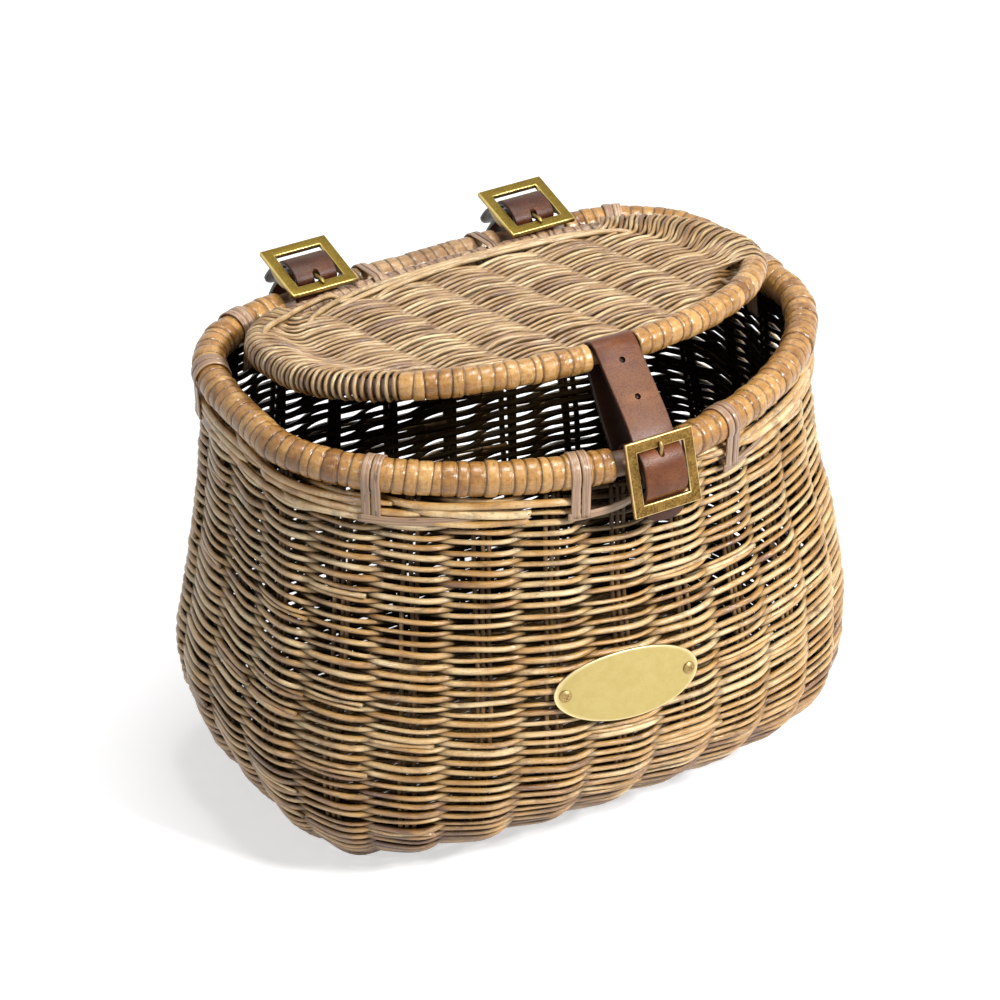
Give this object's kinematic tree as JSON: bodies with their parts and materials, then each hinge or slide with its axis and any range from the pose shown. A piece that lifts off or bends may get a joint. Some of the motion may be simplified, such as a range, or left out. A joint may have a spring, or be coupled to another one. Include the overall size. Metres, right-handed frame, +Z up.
{
  "type": "bicycle creel basket",
  "caption": "Flared woven wicker creel with a hinged wicker lid, a cane-bound rim, a buckled front closing strap and buckled handlebar straps behind.",
  "frame": {"origin": "on the floor, at the middle of the base's flat underside", "axes": "+Z up; +Y from the buckled front towards the handlebar side at the back; +X along the width, to the right when looking at the front"},
  "size_m": [0.3761, 0.2958, 0.2989],
  "materials": {
    "wicker_brown": "satin",
    "wicker_straw": "satin",
    "rod_brown": "matte",
    "cane_gold": "satin",
    "cane_grey": "matte",
    "leather_front": "satin",
    "leather_rear": "satin",
    "brass_dark": "satin",
    "brass_yellow": "satin",
    "brass_pale": "satin"
  },
  "bodies": {
    "basket": {"base_panel": "wicker_brown", "wall_weave": "wicker_brown", "rim_rod": "rod_brown", "rim_binding_right": "cane_gold", "rim_binding_back": "cane_gold", "rim_binding_left": "cane_gold", "rim_tie_1": "cane_grey", "rim_tie_2": "cane_grey", "rim_tie_3": "cane_grey", "rim_tie_4": "cane_grey", "rim_tie_5": "cane_grey", "rim_tie_6": "cane_grey", "rim_tie_7": "cane_grey", "hinge_loop_left": "cane_grey", "hinge_loop_right": "cane_grey", "front_chape": "leather_front", "front_buckle": "brass_dark", "rear_strap_left": "leather_rear", "rear_strap_right": "leather_rear", "badge_plate": "brass_pale", "badge_screw_left": "brass_yellow", "badge_screw_right": "brass_yellow"},
    "closing_strap": {"front_strap": "leather_front"},
    "lid": {"lid_hoop": "rod_brown", "lid_panel": "wicker_straw", "lid_binding_right": "cane_gold", "lid_binding_left": "cane_gold"},
    "front_prong": {"front_tongue": "brass_dark"},
    "rear_frame_left": {"rear_buckle_left": "brass_yellow"},
    "rear_frame_right": {"rear_buckle_right": "brass_yellow"},
    "rear_prong_left": {"rear_tongue_left": "brass_yellow"},
    "rear_prong_right": {"rear_tongue_right": "brass_yellow"}
  },
  "joints": [
    {"name": "lid_open", "type": "hinge", "parent": "basket", "child": "closing_strap", "pos_m": [0, 0.08664, 0.252], "axis": [-1, 0, 0], "range_deg": [0, 85]},
    {"name": "lid_close", "type": "hinge", "parent": "closing_strap", "child": "lid", "pos_m": [0, 0.08664, 0.252], "axis": [1, 0, 0], "range_deg": [0, 11.8], "deforming": ["front_strap"]},
    {"name": "front_prong_lift", "type": "hinge", "parent": "basket", "child": "front_prong", "pos_m": [0, -0.14735, 0.24391], "axis": [1, 0, 0], "range_deg": [0, 12]},
    {"name": "rear_left_swing", "type": "hinge", "parent": "basket", "child": "rear_frame_left", "pos_m": [-0.069, 0.10112, 0.247], "axis": [-1, 0, 0], "range_deg": [0, 61.2], "deforming": ["rear_strap_left"]},
    {"name": "rear_right_swing", "type": "hinge", "parent": "basket", "child": "rear_frame_right", "pos_m": [0.069, 0.10112, 0.247], "axis": [-1, 0, 0], "range_deg": [0, 61.2], "deforming": ["rear_strap_right"]},
    {"name": "rear_left_prong_lift", "type": "hinge", "parent": "rear_frame_left", "child": "rear_prong_left", "pos_m": [-0.069, 0.10368, 0.26198], "axis": [-1, 0, 0], "range_deg": [0, 12]},
    {"name": "rear_right_prong_lift", "type": "hinge", "parent": "rear_frame_right", "child": "rear_prong_right", "pos_m": [0.069, 0.10368, 0.26198], "axis": [-1, 0, 0], "range_deg": [0, 12]}
  ],
  "couplings": [
    {"joint": "rear_left_swing", "follows": "lid_open", "ratio": 0.72},
    {"joint": "rear_right_swing", "follows": "lid_open", "ratio": 0.72}
  ]
}
